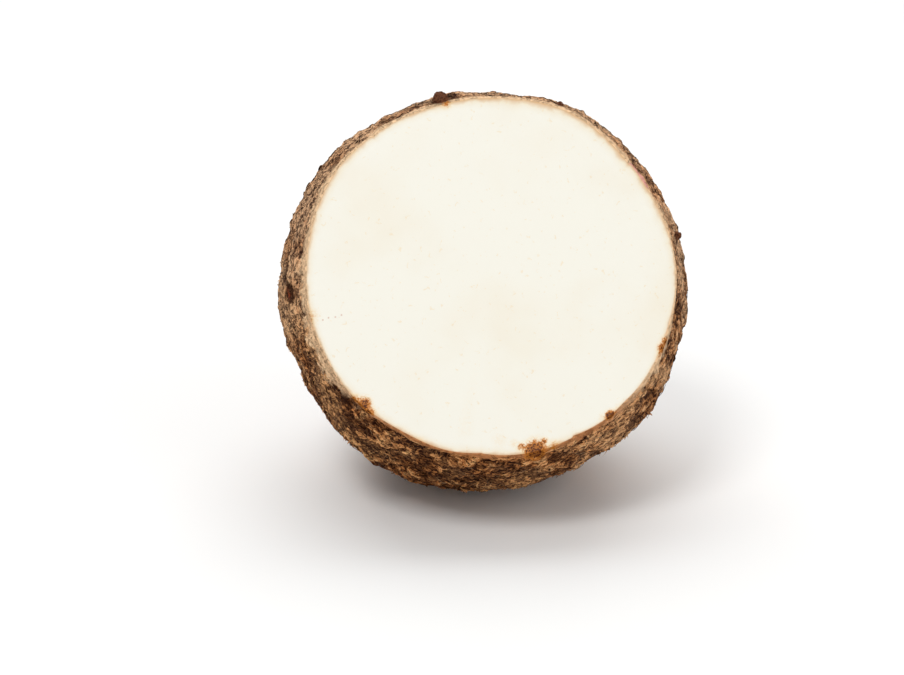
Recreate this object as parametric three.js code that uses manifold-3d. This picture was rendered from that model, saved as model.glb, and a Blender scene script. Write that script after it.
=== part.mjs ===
// Taro root, cut straight across below its crown: one corm with rough brown skin and a flat, pale cut face.
// It lies on its side. Millimetres, +Z up. The cut face looks towards -Y and a little up, and the origin is
// on the small flat spot that the corm rests on, under its centre of mass.
import * as THREE from "three";
import { mergeVertices } from "three/addons/utils/BufferGeometryUtils.js";
import Module from "manifold-3d";

// Driving dimensions.
const CORM_WIDTH = 119; // across the widest part
const CUT_WIDTH = 105.4; // across the cut face, skin included
const WIDEST_DEPTH = 25; // from the cut face back to the widest part
const TAIL_DEPTH = 70; // from the widest part to the root end
const OVALNESS = 0.0065; // how much the section is wider and less high, as a share of its radius
const OVAL_TURN = 7; // degrees that the long way across is turned clockwise, seen from the front
const LEAN = 29.5; // degrees that the cut face looks above the horizon
const CUT_CENTRE = new THREE.Vector3(0, -33.6, 74.1); // middle of the cut face, from the origin
const CUT_EDGE = 0.7; // width and depth of the small chamfer where the skin meets the cut

// Broad relief of the skin: overlaid waves, from lumps as long as a hand is wide down to coarse bark.
const SWELL_COUNT = 16;
const LONGEST_SWELL = 75;
const SHORTEST_SWELL = 10;
const SWELL_HEIGHT = 0.0065; // of each wave, as a share of its length
const SWELL_AT_CUT = 0.3; // share of that height which is left beside the cut
const SWELL_FULL_DEPTH = 45; // depth behind the cut where the waves reach their full height

// Rings round the corm, the scars of old leaf bases.
const RING_SPACING = 11;
const RING_HEIGHT = 1.6;
const RING_RISE = 0.75; // share of its spacing over which a ring rises before it drops
const RING_WANDER = 1.6; // how far each wave below moves a ring along the corm
const WANDER_LENGTHS = { across: 107, up: 82, aslant: 57 };
const RING_FADE = 0.4; // how far a ring fades in and out on its way round
const FADE_LENGTHS = { across: 69, up: 94 };
const FADE_SHIFT = 2.3; // radians between the fading of one ring and the next

// Low swellings and hollows: degrees anticlockwise from +X seen from the front, depth behind the cut,
// height at the middle and distance over which it dies away.
const BULGES = [
  { angle: 4, depth: 14, height: -0.7, reach: 11 },
  { angle: 38, depth: 14, height: -0.9, reach: 18 },
  { angle: 60, depth: 10, height: 0.8, reach: 12 },
  { angle: 87, depth: 12, height: -0.7, reach: 12 },
  { angle: 113, depth: 12, height: -0.6, reach: 11 },
  { angle: 138, depth: 18, height: 0.6, reach: 16 },
  { angle: 184, depth: 20, height: 1.1, reach: 12 },
  { angle: 200, depth: 26, height: -1.4, reach: 15 },
  { angle: 210, depth: 28, height: 0.8, reach: 9 },
  { angle: 236, depth: 34, height: 0.8, reach: 16 },
  { angle: 308, depth: 34, height: 1.1, reach: 18 },
  { angle: 324, depth: 24, height: 0.9, reach: 9 },
  { angle: 332, depth: 26, height: -0.6, reach: 12 },
];

// Stubs of broken roots, which the skin carries all over.
const STUB_COUNT = 52;
const STUB_RADIUS = 1.7; // at the foot, on average
const STUB_HEIGHT = 1.2;
const STUB_TAPER = 0.45; // radius of the tip as a share of the foot's
const STUB_SPREAD = 0.4; // how far a stub's size may lie from the average
const STUB_LEAN = 0.35; // how far a stub may lean, as a slope
const STUB_FREE_DEPTH = 40; // the band beside the cut without any
const STUB_FREE_HEIGHT = 12; // above the surface that the corm lies on, and none below this
const STUB_SIDES = 6;
const EDGE_STUBS = [
  // The ones that stand out beside the cut: place as above, radius at the foot and height.
  { angle: 103.5, depth: 3.2, radius: 2.5, height: 2.5 },
  { angle: 66.5, depth: 2.6, radius: 1.1, height: 1.1 },
  { angle: 12, depth: 8, radius: 1.3, height: 1.6 },
];

// How finely the surface is divided.
const STEPS_AROUND = 90;
const STEPS_ALONG = 44;

const GOLDEN_ANGLE = Math.PI * (3 - Math.sqrt(5));
const EVEN_STEPS = { depth: 0.7548776662, size: 0.569840291, lean: 0.6180339887 }; // for repeatable draws
const WIDEST = CORM_WIDTH / 2;
const CROWN_DEPTH = WIDEST_DEPTH / Math.sqrt(1 - (CUT_WIDTH / CORM_WIDTH) ** 2); // of the whole corm, uncut
const CORM_DEPTH = WIDEST_DEPTH + TAIL_DEPTH;

const wasm = await Module();
wasm.setup();

// The smooth corm's outline at a depth behind the cut, as distance from the corm's axis.
function radiusAt(depth) {
  const fromWidest = depth - WIDEST_DEPTH;
  const share = fromWidest / (fromWidest < 0 ? CROWN_DEPTH : TAIL_DEPTH);
  return WIDEST * Math.sqrt(Math.max(0, 1 - share * share));
}

// A point of the smooth corm. The axis is +Y, with the cut face at height 0 and the root end below it.
function skinPoint(angle, depth) {
  const around = THREE.MathUtils.degToRad(angle);
  const radius = radiusAt(depth);
  return new THREE.Vector3(radius * Math.cos(around), -depth, -radius * Math.sin(around));
}

function wave(travel, length, shift = 0) {
  return Math.sin((2 * Math.PI * travel) / length + shift);
}

// Waves that cross the corm in directions spread evenly over the sphere.
function swell(point) {
  let height = 0;
  for (let i = 0; i < SWELL_COUNT; i++) {
    const length = LONGEST_SWELL * (SHORTEST_SWELL / LONGEST_SWELL) ** (i / (SWELL_COUNT - 1));
    const along = 1 - (2 * i + 1) / SWELL_COUNT;
    const across = Math.sqrt(1 - along * along);
    const turn = i * GOLDEN_ANGLE;
    const travel = point.x * across * Math.cos(turn) + point.y * along + point.z * across * Math.sin(turn);
    height += SWELL_HEIGHT * length * wave(travel, length, i * i);
  }
  const inwards = THREE.MathUtils.smoothstep(-point.y, 0, SWELL_FULL_DEPTH);
  return height * THREE.MathUtils.lerp(SWELL_AT_CUT, 1, inwards);
}

// Each ring rises slowly and drops steeply, wanders off the level and fades in and out.
function rings({ x, y, z }) {
  const { across, up, aslant } = WANDER_LENGTHS;
  const wander = wave(x, across, 1) + wave(z, up) + wave(x - z, aslant);
  const count = (RING_WANDER * wander - y) / RING_SPACING;
  const ring = Math.floor(count);
  const share = count - ring;
  const rise = share < RING_RISE ? share / RING_RISE : (1 - share) / (1 - RING_RISE);
  const fade = wave(x / FADE_LENGTHS.across + z / FADE_LENGTHS.up, 1, ring * FADE_SHIFT);
  return RING_HEIGHT * (1 - RING_FADE + RING_FADE * fade) * (rise - 0.5);
}

function bulges(point) {
  return BULGES.reduce((height, bulge) => {
    const away = point.distanceTo(skinPoint(bulge.angle, bulge.depth)) / bulge.reach;
    return height + bulge.height * Math.exp(-away * away);
  }, 0);
}

// Away from the skin. Beside the cut it runs along the cut face, so that the face stays flat.
function outward(point) {
  const away = THREE.MathUtils.smoothstep(-point.y, 0, WIDEST_DEPTH / 2);
  return new THREE.Vector3(point.x, (point.y + WIDEST_DEPTH) * away, point.z).normalize();
}

function roughened(point) {
  const height = swell(point) + rings(point) + bulges(point);
  return point.clone().addScaledVector(outward(point), height);
}

// A solid from a closed geometry, with its shared vertices merged and its slivers at the poles left out.
function solidOf(geometry) {
  const bare = new THREE.BufferGeometry();
  bare.setAttribute("position", geometry.getAttribute("position"));
  bare.setIndex(geometry.index);
  const merged = mergeVertices(bare, 1e-3);
  const index = merged.index.array;
  const kept = [];
  for (let i = 0; i < index.length; i += 3) {
    const [a, b, c] = index.subarray(i, i + 3);
    if (a !== b && b !== c && c !== a) kept.push(a, b, c);
  }
  return new wasm.Manifold(
    new wasm.Mesh({
      numProp: 3,
      vertProperties: merged.attributes.position.array,
      triVerts: new Uint32Array(kept),
    }),
  );
}

function geometryOf(solid) {
  const { vertProperties, triVerts } = solid.getMesh();
  const geometry = new THREE.BufferGeometry();
  geometry.setAttribute("position", new THREE.BufferAttribute(vertProperties, 3));
  geometry.setIndex(new THREE.BufferAttribute(triVerts, 1));
  geometry.computeVertexNormals();
  return geometry;
}

// The corm itself: the cut face, the small chamfer round it and the skin back to the root end.
function corm() {
  const profile = [new THREE.Vector2(0, -CORM_DEPTH)];
  const firstTurn = Math.asin(WIDEST_DEPTH / CROWN_DEPTH);
  for (let step = STEPS_ALONG - 1; step > 0; step--) {
    const turn = THREE.MathUtils.lerp(-firstTurn, Math.PI / 2, step / STEPS_ALONG);
    const depth = WIDEST_DEPTH + (turn < 0 ? CROWN_DEPTH : TAIL_DEPTH) * Math.sin(turn);
    profile.push(new THREE.Vector2(radiusAt(depth), -depth));
  }
  profile.push(new THREE.Vector2(radiusAt(CUT_EDGE), -CUT_EDGE));
  profile.push(new THREE.Vector2(radiusAt(0) - CUT_EDGE, 0));
  profile.push(new THREE.Vector2(0, 0));
  const geometry = new THREE.LatheGeometry(profile, STEPS_AROUND);
  const place = geometry.getAttribute("position");
  const point = new THREE.Vector3();
  for (let i = 0; i < place.count; i++) {
    point.fromBufferAttribute(place, i);
    if (Math.hypot(point.x, point.z) < CUT_EDGE) continue;
    point.copy(roughened(point));
    place.setXYZ(i, point.x, point.y, point.z);
  }
  return geometry;
}

// A broken root: a short blunt peg with its foot sunk into the skin.
function stub({ angle, depth, radius, height, lean = 0 }) {
  const foot = roughened(skinPoint(angle, depth));
  const peg = new THREE.CylinderGeometry(radius * STUB_TAPER, radius, height * 2, STUB_SIDES);
  const way = outward(foot).add(new THREE.Vector3(lean, 0, -lean)).normalize();
  const turn = new THREE.Quaternion().setFromUnitVectors(new THREE.Vector3(0, 1, 0), way);
  return peg.applyMatrix4(new THREE.Matrix4().compose(foot, turn, new THREE.Vector3(1, 1, 1)));
}

// A repeatable draw between -1 and 1 for stub number `index`.
function draw(index, step) {
  return 2 * ((index * step) % 1) - 1;
}

// The stubs, spread evenly over the skin and left out where the corm lies on them.
function stubs() {
  const made = EDGE_STUBS.map((edgeStub) => laidDown(stub(edgeStub)));
  for (let i = 1; i <= STUB_COUNT; i++) {
    const size = 1 + STUB_SPREAD * draw(i, EVEN_STEPS.size);
    const share = (1 + draw(i, EVEN_STEPS.depth)) / 2;
    const peg = laidDown(
      stub({
        angle: THREE.MathUtils.radToDeg(i * GOLDEN_ANGLE),
        depth: THREE.MathUtils.lerp(STUB_FREE_DEPTH, CORM_DEPTH - CUT_EDGE, share),
        radius: STUB_RADIUS * size,
        height: STUB_HEIGHT * size,
        lean: STUB_LEAN * draw(i, EVEN_STEPS.lean),
      }),
    );
    peg.computeBoundingBox();
    if (peg.boundingBox.min.z > STUB_FREE_HEIGHT) made.push(peg);
  }
  return made;
}

// Lays the corm down: the way out of the cut face turns from +Y to face the front, looking up by the lean.
function laidDown(geometry) {
  geometry.rotateY(THREE.MathUtils.degToRad(OVAL_TURN));
  geometry.scale(1 + OVALNESS, 1, 1 - OVALNESS);
  geometry.rotateY(THREE.MathUtils.degToRad(-OVAL_TURN));
  geometry.rotateX(THREE.MathUtils.degToRad(180 - LEAN));
  return geometry.translate(CUT_CENTRE.x, CUT_CENTRE.y, CUT_CENTRE.z);
}

// Everything below the surface that the corm lies on, which flattens the spot it rests on.
function belowTable() {
  const size = 2 * CORM_WIDTH;
  return new THREE.BoxGeometry(size, size, size).translate(0, 0, -size / 2);
}

const whole = stubs().reduce((solid, peg) => solid.add(solidOf(peg)), solidOf(laidDown(corm())));
const resting = whole.subtract(solidOf(belowTable()));

const taroRoot = new THREE.Mesh(
  geometryOf(resting),
  new THREE.MeshStandardMaterial({ color: 0x8f715e, roughness: 0.9, metalness: 0 }),
);
taroRoot.name = "taro_root";

const root = new THREE.Group();
root.add(taroRoot);

export default root;
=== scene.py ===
"""A taro root, cut straight across below its crown and lying on its side.

Laid out as an add-on: the panel lists one operator for each piece and one for the stage. Metres, +Z up.
A place on the corm is given in the corm's own directions, from the middle of the cut face: to the right along
the face, up the face, and out of the face.
"""

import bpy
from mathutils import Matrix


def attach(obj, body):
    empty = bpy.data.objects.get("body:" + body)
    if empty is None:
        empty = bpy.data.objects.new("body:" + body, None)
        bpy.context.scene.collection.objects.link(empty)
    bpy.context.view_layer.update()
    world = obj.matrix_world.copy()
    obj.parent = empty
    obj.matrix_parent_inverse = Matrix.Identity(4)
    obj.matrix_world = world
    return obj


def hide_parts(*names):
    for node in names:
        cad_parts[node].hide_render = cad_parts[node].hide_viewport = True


bl_info = {
    "name": "Taro root",
    "version": (1, 0, 0),
    "blender": (4, 5, 0),
    "location": "3D View > Sidebar > Taro root",
    "description": "Makes a cut taro root with bark-like skin, and the stage that it lies on",
    "category": "Object",
}

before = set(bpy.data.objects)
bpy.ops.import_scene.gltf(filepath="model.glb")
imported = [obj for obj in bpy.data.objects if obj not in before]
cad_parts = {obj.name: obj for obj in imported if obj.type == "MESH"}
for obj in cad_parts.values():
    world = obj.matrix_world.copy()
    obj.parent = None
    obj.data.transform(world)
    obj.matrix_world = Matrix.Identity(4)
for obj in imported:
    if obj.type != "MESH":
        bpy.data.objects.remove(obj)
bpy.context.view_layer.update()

import math

import bmesh
import bpy
import numpy as np
from bpy.props import FloatProperty, FloatVectorProperty, IntProperty, PointerProperty
from mathutils import Matrix, Vector

MM = 0.001
TINY = 1e-6
GOLDEN_ANGLE = math.pi * (3 - math.sqrt(5))

# Broad relief of the skin: overlaid waves, from lumps as long as a hand is wide down to coarse bark.
SWELL_COUNT = 16
LONGEST_SWELL = 75 * MM
SHORTEST_SWELL = 10 * MM
SWELL_HEIGHT = 0.0065  # as a share of a wave's length
SWELL_AT_CUT = 0.3  # share of it that is left at the cut
SWELL_FULL_DEPTH = 45 * MM

# Rings round the corm, the scars of old leaf bases.
RING_SPACING = 11 * MM
RING_HEIGHT = 1.6 * MM
RING_RISE = 0.75  # share of the spacing over which a ring rises, before it drops
RING_WANDER = 1.6 * MM
WANDER_LENGTHS = {"across": 107 * MM, "up": 82 * MM, "aslant": 57 * MM}
RING_FADE = 0.4  # share of the height that comes and goes round the corm
FADE_LENGTHS = {"across": 69 * MM, "up": 94 * MM}
FADE_SHIFT = 2.3

# Low swellings and hollows: degrees anticlockwise seen from the front, then depth behind the cut, height and
# reach in millimetres.
BULGES = (
    (4, 14, -0.7, 11),
    (38, 14, -0.9, 18),
    (60, 10, 0.8, 12),
    (87, 12, -0.7, 12),
    (113, 12, -0.6, 11),
    (138, 18, 0.6, 16),
    (184, 20, 1.1, 12),
    (200, 26, -1.4, 15),
    (210, 28, 0.8, 9),
    (236, 34, 0.8, 16),
    (308, 34, 1.1, 18),
    (324, 24, 0.9, 9),
    (332, 26, -0.6, 12),
)

# Stubs of broken roots.
STUB_COUNT = 52
STUB_RADIUS = 1.7 * MM
STUB_HEIGHT = 1.2 * MM
STUB_SPREAD = 0.4  # share by which stubs are larger or smaller
STUB_LEAN = 0.35
STUB_FREE_DEPTH = 40 * MM
STUB_FREE_HEIGHT = 12 * MM
EVEN_STEPS = {"depth": 0.7548776662, "size": 0.569840291, "lean": 0.6180339887}
# Stubs beside the cut: degrees, then depth, radius at the foot and height in millimetres.
EDGE_STUBS = (
    (103.5, 3.2, 2.5, 2.5),
    (66.5, 2.6, 1.1, 1.1),
    (12, 8, 1.3, 1.6),
)


def srgb(red, green, blue):
    """A colour for the shaders, from the 0 to 255 that a picture shows for red, green and blue."""
    values = (c / 255 for c in (red, green, blue))
    return tuple(c / 12.92 if c <= 0.04045 else ((c + 0.055) / 1.055) ** 2.4 for c in values)


def length_prop(name, metres, description):
    return FloatProperty(name=name, description=description, default=metres, unit="LENGTH", precision=4)


def angle_prop(name, degrees, description):
    return FloatProperty(name=name, description=description, default=math.radians(degrees), unit="ROTATION")


def count_prop(name, count, description, least=1):
    return IntProperty(name=name, description=description, default=count, min=least)


def colour_prop(name, colour, description):
    settings = {"subtype": "COLOR", "min": 0, "max": 1}
    return FloatVectorProperty(name=name, description=description, default=colour, **settings)


class TaroCorm(bpy.types.PropertyGroup):
    """Sizes of the corm."""

    width: length_prop("Width", 119 * MM, "Across the widest part")
    cut_width: length_prop("Cut width", 105.4 * MM, "Across the cut face, skin included")
    widest_depth: length_prop("Widest depth", 25 * MM, "From the cut face back to the widest part")
    tail_depth: length_prop("Tail depth", 70 * MM, "From the widest part to the root end")
    lean: angle_prop("Lean", 29.5, "How far the cut face looks above the horizon")
    cut_height: length_prop("Cut height", 74.1 * MM, "Middle of the cut face above the table")
    cut_forward: length_prop("Cut forward", 33.6 * MM, "Middle of the cut face in front of the resting spot")
    cut_edge: length_prop("Cut edge", 0.7 * MM, "Width of the rounded edge between skin and cut")
    oval: FloatProperty(name="Oval", description="How much wider than high, as a share", default=0.0065)
    oval_turn: angle_prop("Oval turn", 7, "How far the long way across is turned clockwise")
    around: count_prop("Steps around", 440, "Faces round the corm", least=24)
    along: count_prop("Steps along", 306, "Rings of faces on the whole sphere", least=24)
    scales: count_prop("Scales", 16400, "Number of loose scales of bark")
    scale_length: length_prop("Scale length", 1.7 * MM, "Of a scale of usual size")
    strands: count_prop("Strands", 14000, "Number of strands along the rings")
    strand_length: length_prop("Strand length", 4.0 * MM, "Of a strand of usual size")
    hairs: count_prop("Fine roots", 900, "Number of fine roots on the skin")
    hair_length: length_prop("Fine root length", 4 * MM, "Of a fine root of usual size")


class TaroFinish(bpy.types.PropertyGroup):
    """Colours of skin and flesh."""

    flesh: colour_prop("Flesh", srgb(247, 244, 232), "The cut face")
    flesh_warm: colour_prop("Warm flesh", srgb(243, 233, 212), "Tint of the flesh in broad patches")
    rim: colour_prop("Rim", srgb(212, 160, 106), "Flesh beside the skin")
    # As the painted shade low on the corm grows, the pale bark runs from the light and golden colours to
    # skin, and the dark bark runs from brown to dark skin. The dark colours also fill the hollows as painted
    # shade.
    skin_light: colour_prop("Light skin", srgb(240, 192, 148), "Scales and worn places high on the corm")
    skin_gold: colour_prop("Golden skin", srgb(250, 188, 122), "Scales and worn places low on the corm")
    skin: colour_prop("Skin", srgb(222, 146, 86), "Scales low on the corm")
    skin_brown: colour_prop("Brown skin", srgb(70, 46, 38), "Cracks and hollows high on the corm")
    skin_dark: colour_prop("Dark skin", srgb(50, 21, 9), "Cracks and hollows low on the corm")
    skin_red: colour_prop("Red skin", srgb(150, 66, 38), "Fibres in scars and cracks")
    band: colour_prop("Band", srgb(255, 216, 172), "Smooth skin beside the cut")
    band_low: colour_prop("Low band", srgb(194, 128, 82), "The same, low on the corm")
    root_end: colour_prop("Root end", srgb(108, 66, 42), "Stubs and fine roots")
    root_light: colour_prop("Light root", srgb(196, 160, 120), "The palest fine roots")


class TaroStage(bpy.types.PropertyGroup):
    """Floor, light and camera."""

    azimuth: angle_prop("Azimuth", -3.43, "Which way the camera looks, from the front towards the right")
    elevation: angle_prop("Elevation", 20.1, "Height of the camera over the cut face")
    distance: length_prop("Distance", 571 * MM, "From the cut face to the camera")
    aside: length_prop("Aside", -11.04 * MM, "How far the camera is moved right, square to its view")
    above: length_prop("Above", -18.36 * MM, "How far the camera is moved up, square to its view")
    lens: FloatProperty(name="Lens", description="Focal length in millimetres", default=80, min=10)
    floor: colour_prop("Floor", srgb(250, 250, 249), "The plain floor")


# Shape of the corm, in its own directions.


def wave(travel, length, shift=0.0):
    return np.sin(2 * math.pi * travel / length + shift)


def smooth_step(value, low, high):
    share = np.clip((value - low) / (high - low), 0, 1)
    return share * share * (3 - 2 * share)


def crown_depth(corm):
    """Depth of the crown that was cut off, from the widest part to where it ended."""
    return corm.widest_depth / math.sqrt(1 - (corm.cut_width / corm.width) ** 2)


def face_point(degrees, radius):
    """The point of the cut face at an angle seen from the front and a distance from its middle."""
    turn = math.radians(degrees)
    return np.array([radius * math.cos(turn), radius * math.sin(turn), 0])


def skin_point(corm, degrees, depth):
    """The point of the smooth corm at an angle seen from the front and a depth behind the cut."""
    from_widest = depth - corm.widest_depth
    reach = crown_depth(corm) if from_widest < 0 else corm.tail_depth
    radius = corm.width / 2 * math.sqrt(max(0.0, 1 - (from_widest / reach) ** 2))
    return face_point(degrees, radius) - (0, 0, depth)


def swell(points):
    """Waves that cross the corm in directions spread evenly over the sphere."""
    right, up, out = points.T
    height = np.zeros(len(points))
    for i in range(SWELL_COUNT):
        length = LONGEST_SWELL * (SHORTEST_SWELL / LONGEST_SWELL) ** (i / (SWELL_COUNT - 1))
        along = 1 - (2 * i + 1) / SWELL_COUNT
        across = math.sqrt(1 - along * along)
        turn = i * GOLDEN_ANGLE
        travel = right * across * math.cos(turn) + out * along - up * across * math.sin(turn)
        height += SWELL_HEIGHT * length * wave(travel, length, i * i)
    inwards = smooth_step(-out, 0, SWELL_FULL_DEPTH)
    return height * (SWELL_AT_CUT + (1 - SWELL_AT_CUT) * inwards)


def ring_share(points):
    """Number of each point's ring, and how far the point lies through it, from 0 to 1."""
    right, up, out = points.T
    wander = wave(right, WANDER_LENGTHS["across"], 1) + wave(-up, WANDER_LENGTHS["up"])
    wander = wander + wave(right + up, WANDER_LENGTHS["aslant"])
    count = (RING_WANDER * wander - out) / RING_SPACING
    ring = np.floor(count)
    return ring, count - ring


def rings(points):
    """Each ring rises slowly and drops steeply, wanders off the level and fades in and out."""
    right, up, _ = points.T
    ring, share = ring_share(points)
    rise = np.where(share < RING_RISE, share / RING_RISE, (1 - share) / (1 - RING_RISE))
    fade = wave(right / FADE_LENGTHS["across"] - up / FADE_LENGTHS["up"], 1, ring * FADE_SHIFT)
    return RING_HEIGHT * (1 - RING_FADE + RING_FADE * fade) * (rise - 0.5)


def bulges(corm, points):
    height = np.zeros(len(points))
    for degrees, depth, middle, reach in BULGES:
        away = np.linalg.norm(points - skin_point(corm, degrees, depth * MM), axis=1) / (reach * MM)
        height += middle * MM * np.exp(-away * away)
    return height


def outward(corm, points):
    """Away from the skin. Beside the cut it runs along the cut face, so that the face stays flat."""
    way = points.copy()
    way[:, 2] = (points[:, 2] + corm.widest_depth) * smooth_step(-points[:, 2], 0, corm.widest_depth / 2)
    return way / np.maximum(np.linalg.norm(way, axis=1, keepdims=True), TINY)


def roughened(corm, points):
    height = swell(points) + rings(points) + bulges(corm, points)
    return points + outward(corm, points) * height[:, None]


def lay_down(corm):
    """From the corm's own directions to the room, as it lies."""
    turn = Matrix.Rotation(-corm.oval_turn, 4, "Z")
    oval = Matrix.Diagonal((1 + corm.oval, 1 - corm.oval, 1, 1))
    lean = Matrix.Rotation(math.pi / 2 - corm.lean, 4, "X")
    place = Matrix.Translation((0, -corm.cut_forward, corm.cut_height))
    return place @ lean @ turn @ oval @ turn.inverted()


# Meshes.


def deselect_all():
    if bpy.context.mode != "OBJECT":
        bpy.ops.object.mode_set(mode="OBJECT")
    bpy.ops.object.select_all(action="DESELECT")


def select_only(piece):
    deselect_all()
    piece.select_set(True)
    bpy.context.view_layer.objects.active = piece


def choose(kind, wanted):
    """In edit mode, selects the vertices, edges or faces for which `wanted` says yes."""
    bpy.ops.mesh.select_all(action="DESELECT")
    bpy.ops.mesh.select_mode(type=kind)
    mesh = bmesh.from_edit_mesh(bpy.context.edit_object.data)
    for element in {"VERT": mesh.verts, "EDGE": mesh.edges, "FACE": mesh.faces}[kind]:
        if wanted(element):
            element.select_set(True)
    mesh.select_flush_mode()
    bmesh.update_edit_mesh(bpy.context.edit_object.data)


def points_of(mesh):
    flat = np.empty(len(mesh.vertices) * 3, np.float32)
    mesh.vertices.foreach_get("co", flat)
    return flat.reshape(-1, 3).astype(float)


def set_points(mesh, points):
    mesh.vertices.foreach_set("co", points.astype(np.float32).ravel())
    mesh.update()


def put_in_order(piece):
    """Numbers the points and faces by their places, because some tools leave them in a new order each run."""
    mesh = piece.data
    points = np.round(points_of(mesh) / TINY) * TINY
    order = np.lexsort(points.T)
    numbers = np.empty(len(order), int)
    numbers[order] = np.arange(len(order))
    faces = []
    for face in mesh.polygons:
        corners = [int(numbers[index]) for index in face.vertices]
        start = corners.index(min(corners))
        faces.append(tuple(corners[start:] + corners[:start]))
    mesh.clear_geometry()
    mesh.from_pydata(points[order], [], sorted(faces))


def normals_of(mesh):
    flat = np.empty(len(mesh.vertices) * 3, np.float32)
    mesh.vertex_normals.foreach_get("vector", flat)
    return flat.reshape(-1, 3).astype(float)


def store(mesh, name, values):
    """Keeps a number or a vector for each vertex, for the materials to read."""
    kind, key = ("FLOAT_VECTOR", "vector") if values.ndim == 2 else ("FLOAT", "value")
    mesh.attributes.new(name, kind, "POINT").data.foreach_set(key, values.astype(np.float32).ravel())


def values_of(mesh, name):
    """The numbers or vectors that `store` kept."""
    kept = mesh.attributes[name]
    width, key = (3, "vector") if kept.data_type == "FLOAT_VECTOR" else (1, "value")
    flat = np.empty(len(mesh.vertices) * width, np.float32)
    kept.data.foreach_get(key, flat)
    return flat.reshape(-1, 3) if width == 3 else flat


# The corm.

RIM_INSET = 0.6 * MM
RIM_INSETS = 11
FACE_STEADY = 0.55  # share of the cut's radius inside which the rim's wander dies away
FACE_THICK = 0.05 * MM  # a point this near the plane of the cut is on it

# Layers of bark: name, kind of noise, its size, how far it is drawn out round the corm, height and settings.
BARK_LAYERS = (
    ("lumps", "CLOUDS", 5.0 * MM, 1.5, 3.0 * MM, {"noise_depth": 2}),
    ("plates", "VORONOI", 3.0 * MM, 1.7, 1.8 * MM, {"weight_1": -1.0, "weight_2": 1.0}),
    ("grain", "CLOUDS", 1.3 * MM, 1.5, 0.9 * MM, {"noise_depth": 3, "noise_type": "HARD_NOISE"}),
)
BARK_GROUP = "bark"
BARK_SUNK = 0.55 * MM  # so that the peaks, and not the mean, keep to the outline
BARK_FREE_DEPTH = 0.3 * MM
BARK_FULL_DEPTH = 3.5 * MM
BARK_HIGH_UP = 0.68  # share of the relief that is left high on the corm
# The relief grows between these distances below the middle of the cut, and again to its left.
LOW_SIDE = (-10 * MM, 35 * MM)
LEFT_SIDE = (-20 * MM, 10 * MM)
LOW_RIGHT = 0.4  # share of that growth at the right
SKIN_CREASE = math.radians(50)

# Root traces in the cut: degrees, then distance inside the rim and radius in millimetres, and strength.
EYES = (
    (222.6, -0.5, 2.0, 0.8),
    (225.3, 0.6, 2.3, 1.05),
    (228.0, -0.3, 2.0, 0.9),
    (281.8, 0.1, 3.3, 1.3),
    (277.8, 2.4, 1.4, 0.7),
    (275.6, 3.5, 1.6, 0.3),
    (285.3, 2.5, 1.2, 0.7),
    (287.5, -0.2, 2.2, 0.6),
    (307.6, 0.0, 1.5, 1.6),
    (305.4, 1.0, 1.6, 0.3),
    (311.0, -0.6, 2.2, 0.4),
    (334.4, -0.3, 1.7, 1.0),
    (336.8, -0.9, 1.9, 0.9),
    (332.0, -0.8, 1.9, 0.5),
    (193.0, 0.0, 3.0, 0.4),
    (137, 0.2, 2.0, 0.3),
    (102.5, 0.2, 1.8, 0.6),
    (246, -0.4, 2.4, 0.35),
    (259, 6.5, 3.5, 0.14),
    (271, 4.5, 3.0, 0.2),
)

# Dark scars on the skin: degrees, then depth behind the cut and radius in millimetres, and strength.
SCARS = (
    (183.5, 9.5, 3.4, 1.3),
    (177, 14, 3.4, 0.9),
    (190, 12, 3.0, 0.6),
    (220, 4.5, 3.0, 0.8),
    (229, 5, 3.6, 0.6),
    (215, 10, 3.4, 0.6),
    (316.6, 5.4, 1.2, 0.85),
    (318.6, 5.0, 1.2, 0.85),
    (320.6, 5.2, 1.2, 0.85),
    (322.2, 5.7, 1.0, 0.7),
    (11, 7, 1.6, 1.2),
    (103, 2.5, 2.4, 1.0),
    (118, 1.8, 1.5, 1.2),
)

# Round the rim: degrees, and how many millimetres the tan stain reaches over the flesh and the smooth tan
# band over the skin.
BANDS = (
    (0, 1.2, 1.8),
    (36, 1.7, 2.2),
    (75, 2.0, 1.4),
    (92, 1.6, 0.8),
    (125, 1.2, 3.0),
    (150, 1.5, 4.2),
    (170, 1.3, 4.6),
    (193, 1.0, 4.8),
    (210, 0.8, 7.0),
    (222, 1.5, 3.4),
    (240, 1.2, 1.4),
    (285, 1.4, 1.4),
    (302, 0.8, 2.4),
    (318, 0.6, 2.6),
    (340, 0.8, 3.2),
    (352, 0.8, 2.2),
    (360, 1.2, 1.8),
)
EYE_RISE = 0.25 * MM
EYE_FLAT = 0.3  # a trace fainter than this doesn't rise from the face
SCAR_ROUND_STUB = {"reach": 2.2, "strength": 0.75}
# Small dots in the flesh: degrees and millimetres inside the rim.
DOTS = ((195.0, 3.3), (194.8, 5.0), (195.2, 6.9), (195.1, 8.7))
DOT_RADIUS = 0.38 * MM
# The place beside the cut where the skin was scraped off: degrees, then depth and radius in millimetres.
SCRAPES = ((35.5, 0.5, 2.0), (32.0, 0.8, 2.2), (29.5, 0.9, 1.7))


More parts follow.
